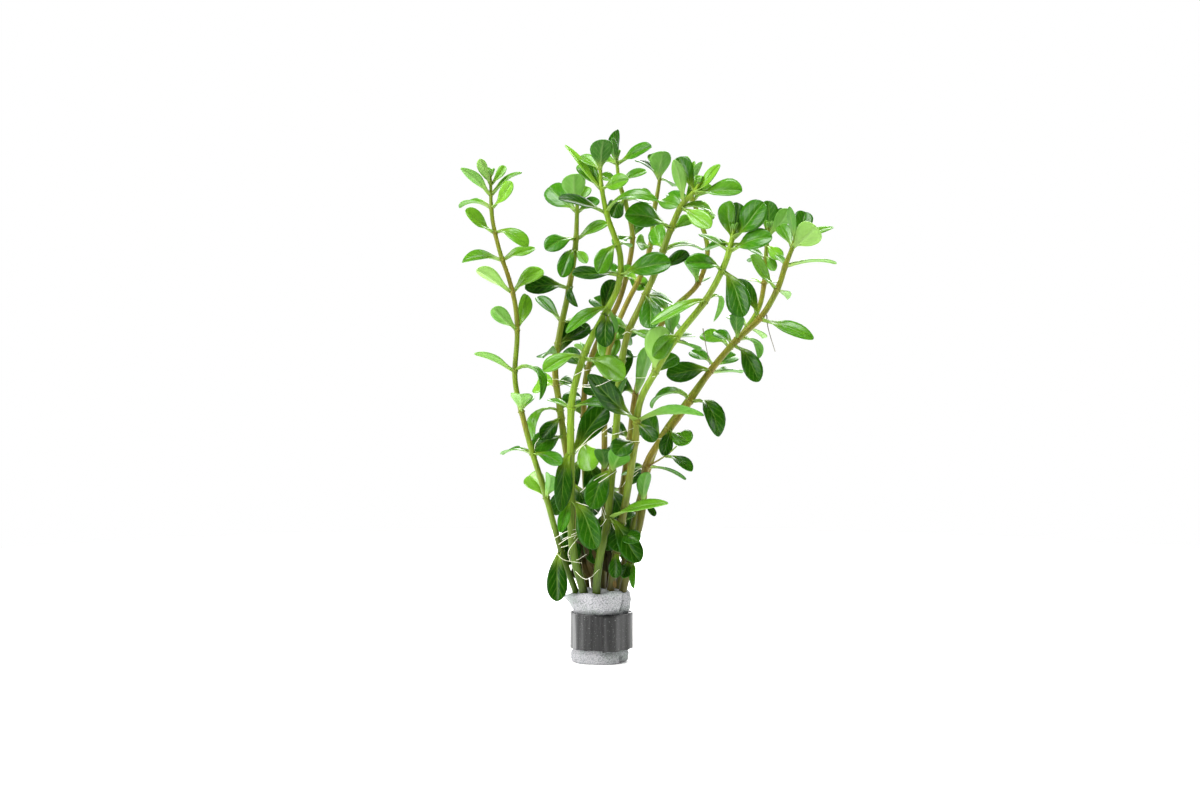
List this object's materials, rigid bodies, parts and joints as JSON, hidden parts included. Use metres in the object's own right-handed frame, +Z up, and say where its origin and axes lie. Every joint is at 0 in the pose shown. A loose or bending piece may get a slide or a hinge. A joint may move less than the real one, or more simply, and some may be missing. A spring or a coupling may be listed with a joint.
{
  "type": "bunch of rotala shoots in a foam and lead plant weight",
  "caption": "Bunch of leafy aquarium plant shoots standing in a wound foam strip that a lead strip holds.",
  "frame": {"origin": "middle of the foam's flat foot, on the surface that the bunch stands on", "axes": "+Z up along the bunch, -Y towards its front, +X to the right seen from the front"},
  "size_m": [0.1262, 0.062, 0.1777],
  "materials": {
    "foam": "matt open foam",
    "lead": "dull grey sheet lead",
    "stem": "smooth olive plant stem",
    "young_leaf": "bright satin leaf",
    "leaf": "satin leaf"
  },
  "bodies": {
    "root": {"foam_wrap": "foam", "lead_strip": "lead", "stem_1": "stem", "stem_2": "stem", "stem_3": "stem", "stem_4": "stem", "stem_5": "stem", "stem_6": "stem", "stem_7": "stem", "stem_8": "stem", "stem_9": "stem", "stem_10": "stem", "shoot_tip_1": "young_leaf", "shoot_tip_2": "young_leaf", "shoot_tip_3": "young_leaf", "shoot_tip_4": "young_leaf", "shoot_tip_5": "young_leaf", "shoot_tip_6": "young_leaf", "shoot_tip_7": "young_leaf", "shoot_tip_8": "young_leaf", "shoot_tip_9": "young_leaf", "shoot_tip_10": "young_leaf", "leaf_pair_1_1": "leaf", "leaf_pair_1_2": "leaf", "leaf_pair_1_3": "leaf", "leaf_pair_1_4": "leaf", "leaf_pair_1_5": "leaf", "leaf_pair_1_6": "leaf", "leaf_pair_2_1": "leaf", "leaf_pair_2_2": "leaf", "leaf_pair_2_3": "leaf", "leaf_pair_2_4": "leaf", "leaf_pair_3_1": "leaf", "leaf_pair_3_2": "leaf", "leaf_pair_3_3": "leaf", "leaf_pair_3_4": "leaf", "leaf_pair_3_5": "leaf", "leaf_pair_3_6": "leaf", "leaf_pair_3_7": "leaf", "leaf_pair_4_1": "leaf", "leaf_pair_5_1": "leaf", "leaf_pair_6_1": "leaf", "leaf_pair_6_2": "leaf", "leaf_pair_6_3": "leaf", "leaf_pair_6_4": "leaf", "leaf_pair_6_5": "leaf", "leaf_pair_6_6": "leaf", "leaf_pair_7_1": "leaf", "leaf_pair_8_1": "leaf", "leaf_pair_8_2": "leaf", "leaf_pair_8_3": "leaf", "leaf_pair_8_4": "leaf", "leaf_pair_8_5": "leaf", "leaf_pair_9_1": "leaf", "leaf_pair_10_1": "leaf", "leaf_pair_10_2": "leaf", "leaf_pair_10_3": "leaf", "leaf_pair_10_4": "leaf", "leaf_pair_10_5": "leaf", "leaf_pair_10_6": "leaf"}
  },
  "joints": []
}
